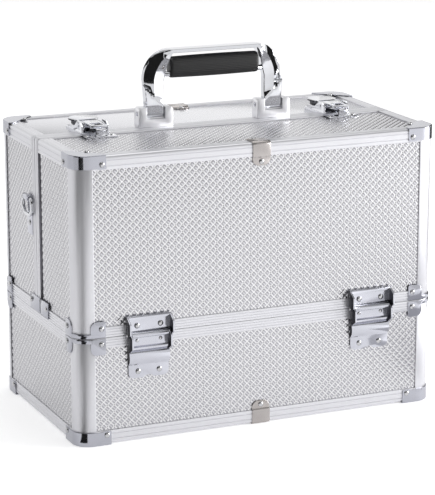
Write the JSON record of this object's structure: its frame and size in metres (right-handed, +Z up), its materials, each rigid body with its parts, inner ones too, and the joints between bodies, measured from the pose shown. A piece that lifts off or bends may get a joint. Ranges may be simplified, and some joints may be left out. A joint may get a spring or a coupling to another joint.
{
  "type": "makeup train case",
  "caption": "Hard-shell makeup storage case with a lower box, two side-opening lids carrying cantilever trays, stop hinges, draw latches and a folding top handle.",
  "frame": {"origin": "under the middle of the case, on the surface it stands on", "axes": "+X along the length of the case, -Y the front, +Z up"},
  "size_m": [0.3604, 0.2196, 0.329],
  "materials": {
    "embossed_panel": "silver metallic skin embossed with a fine diamond lattice",
    "floor_board": "black grained board",
    "profile_aluminium": "satin anodised extrusion",
    "fitting_nickel": "nickel-plated pressed steel",
    "rivet_steel": "polished rivet heads",
    "handle_chrome": "polished chrome plate",
    "bracket_chrome": "polished chrome plate",
    "grip_black": "black moulded grip",
    "tray_black": "black moulded trays",
    "black_lining": "black flocked lining"
  },
  "bodies": {
    "base": {"base_corner_posts": "profile_aluminium", "base_bottom_profiles": "profile_aluminium", "base_rim_profiles": "profile_aluminium", "base_front_panel": "embossed_panel", "base_rear_panel": "embossed_panel", "base_end_panels": "embossed_panel", "base_floor_panel": "floor_board", "base_lining": "black_lining", "base_bottom_caps": "fitting_nickel", "base_seam_brackets": "fitting_nickel", "base_bottom_clips": "fitting_nickel", "base_rivets": "rivet_steel", "hinge_lower_leaves": "fitting_nickel", "hinge_pins": "fitting_nickel", "tray_arm_brackets": "fitting_nickel"},
    "front_lid": {"front_lid_corner_posts": "profile_aluminium", "front_lid_edge_profiles": "profile_aluminium", "front_lid_split_rim": "profile_aluminium", "front_lid_front_panel": "embossed_panel", "front_lid_top_panel": "embossed_panel", "front_lid_end_panels": "embossed_panel", "front_lid_lining": "black_lining", "front_lid_top_caps": "fitting_nickel", "front_lid_seam_brackets": "fitting_nickel", "front_lid_top_clip": "fitting_nickel", "front_lid_hinge_upper_leaves": "fitting_nickel", "front_lid_rivets": "rivet_steel", "latch_keepers": "fitting_nickel"},
    "rear_lid": {"rear_lid_corner_posts": "profile_aluminium", "rear_lid_edge_profiles": "profile_aluminium", "rear_lid_split_rim": "profile_aluminium", "rear_lid_rear_panel": "embossed_panel", "rear_lid_top_panel": "embossed_panel", "rear_lid_end_panels": "embossed_panel", "rear_lid_lining": "black_lining", "rear_lid_top_caps": "fitting_nickel", "rear_lid_seam_brackets": "fitting_nickel", "rear_lid_top_clip": "fitting_nickel", "rear_lid_hinge_upper_leaves": "fitting_nickel", "rear_lid_rivets": "rivet_steel", "handle_brackets": "bracket_chrome", "handle_pins": "fitting_nickel", "latch_bases": "fitting_nickel", "d_ring_plates": "fitting_nickel"},
    "handle": {"handle_frame": "handle_chrome", "handle_grip": "grip_black", "grip_pin": "fitting_nickel"},
    "left_latch_lever": {"left_latch_lever": "fitting_nickel"},
    "right_latch_lever": {"right_latch_lever": "fitting_nickel"},
    "left_latch_claw": {"left_latch_claw": "fitting_nickel"},
    "right_latch_claw": {"right_latch_claw": "fitting_nickel"},
    "left_d_ring": {"left_d_ring": "fitting_nickel"},
    "right_d_ring": {"right_d_ring": "fitting_nickel"},
    "front_lower_tray": {"front_lower_tray": "tray_black"},
    "front_upper_tray": {"front_upper_tray": "tray_black"},
    "rear_lower_tray": {"rear_lower_tray": "tray_black"},
    "rear_upper_tray": {"rear_upper_tray": "tray_black"},
    "front_tray_arms": {"front_tray_arms": "fitting_nickel"},
    "rear_tray_arms": {"rear_tray_arms": "fitting_nickel"}
  },
  "joints": [
    {"name": "front_lid_hinge", "type": "hinge", "parent": "base", "child": "front_lid", "pos_m": [0, -0.103, 0.098], "axis": [1, 0, 0], "range_deg": [0, 95]},
    {"name": "rear_lid_hinge", "type": "hinge", "parent": "base", "child": "rear_lid", "pos_m": [0, 0.103, 0.098], "axis": [-1, 0, 0], "range_deg": [0, 95]},
    {"name": "handle_swing", "type": "hinge", "parent": "rear_lid", "child": "handle", "pos_m": [0, 0.0073, 0.2715], "axis": [1, 0, 0], "range_deg": [-88, 88]},
    {"name": "left_latch_lift", "type": "hinge", "parent": "rear_lid", "child": "left_latch_lever", "pos_m": [-0.12, 0.003, 0.2657], "axis": [1, 0, 0], "range_deg": [0, 100]},
    {"name": "left_claw_pivot", "type": "hinge", "parent": "left_latch_lever", "child": "left_latch_claw", "pos_m": [-0.12, 0.009, 0.2644], "axis": [1, 0, 0], "range_deg": [-120, 0]},
    {"name": "left_d_ring_swing", "type": "hinge", "parent": "rear_lid", "child": "left_d_ring", "pos_m": [-0.1772, 0.018, 0.2015], "axis": [0, 1, 0], "range_deg": [0, 150]},
    {"name": "right_latch_lift", "type": "hinge", "parent": "rear_lid", "child": "right_latch_lever", "pos_m": [0.12, 0.003, 0.2657], "axis": [1, 0, 0], "range_deg": [0, 100]},
    {"name": "right_claw_pivot", "type": "hinge", "parent": "right_latch_lever", "child": "right_latch_claw", "pos_m": [0.12, 0.009, 0.2644], "axis": [1, 0, 0], "range_deg": [-120, 0]},
    {"name": "right_d_ring_swing", "type": "hinge", "parent": "rear_lid", "child": "right_d_ring", "pos_m": [0.1772, 0.018, 0.2015], "axis": [0, -1, 0], "range_deg": [0, 150]},
    {"name": "front_lower_tray_pivot", "type": "hinge", "parent": "front_lid", "child": "front_lower_tray", "pos_m": [0, -0.077, 0.116], "axis": [1, 0, 0], "range_deg": [-95, 0]},
    {"name": "front_upper_tray_pivot", "type": "hinge", "parent": "front_lid", "child": "front_upper_tray", "pos_m": [0, -0.0365, 0.166], "axis": [1, 0, 0], "range_deg": [-95, 0]},
    {"name": "front_tray_arm_pivot", "type": "hinge", "parent": "base", "child": "front_tray_arms", "pos_m": [0, -0.083, 0.101], "axis": [1, 0, 0], "range_deg": [0, 95]},
    {"name": "rear_lower_tray_pivot", "type": "hinge", "parent": "rear_lid", "child": "rear_lower_tray", "pos_m": [0, 0.077, 0.116], "axis": [-1, 0, 0], "range_deg": [-95, 0]},
    {"name": "rear_upper_tray_pivot", "type": "hinge", "parent": "rear_lid", "child": "rear_upper_tray", "pos_m": [0, 0.0295, 0.166], "axis": [-1, 0, 0], "range_deg": [-95, 0]},
    {"name": "rear_tray_arm_pivot", "type": "hinge", "parent": "base", "child": "rear_tray_arms", "pos_m": [0, 0.083, 0.101], "axis": [-1, 0, 0], "range_deg": [0, 95]}
  ],
  "couplings": [
    {"joint": "left_claw_pivot", "follows": "left_latch_lift", "ratio": -1.2},
    {"joint": "right_claw_pivot", "follows": "right_latch_lift", "ratio": -1.2},
    {"joint": "front_lower_tray_pivot", "follows": "front_lid_hinge", "ratio": -1},
    {"joint": "front_upper_tray_pivot", "follows": "front_lid_hinge", "ratio": -1},
    {"joint": "front_tray_arm_pivot", "follows": "front_lid_hinge", "ratio": 1},
    {"joint": "rear_lower_tray_pivot", "follows": "rear_lid_hinge", "ratio": -1},
    {"joint": "rear_upper_tray_pivot", "follows": "rear_lid_hinge", "ratio": -1},
    {"joint": "rear_tray_arm_pivot", "follows": "rear_lid_hinge", "ratio": 1}
  ]
}
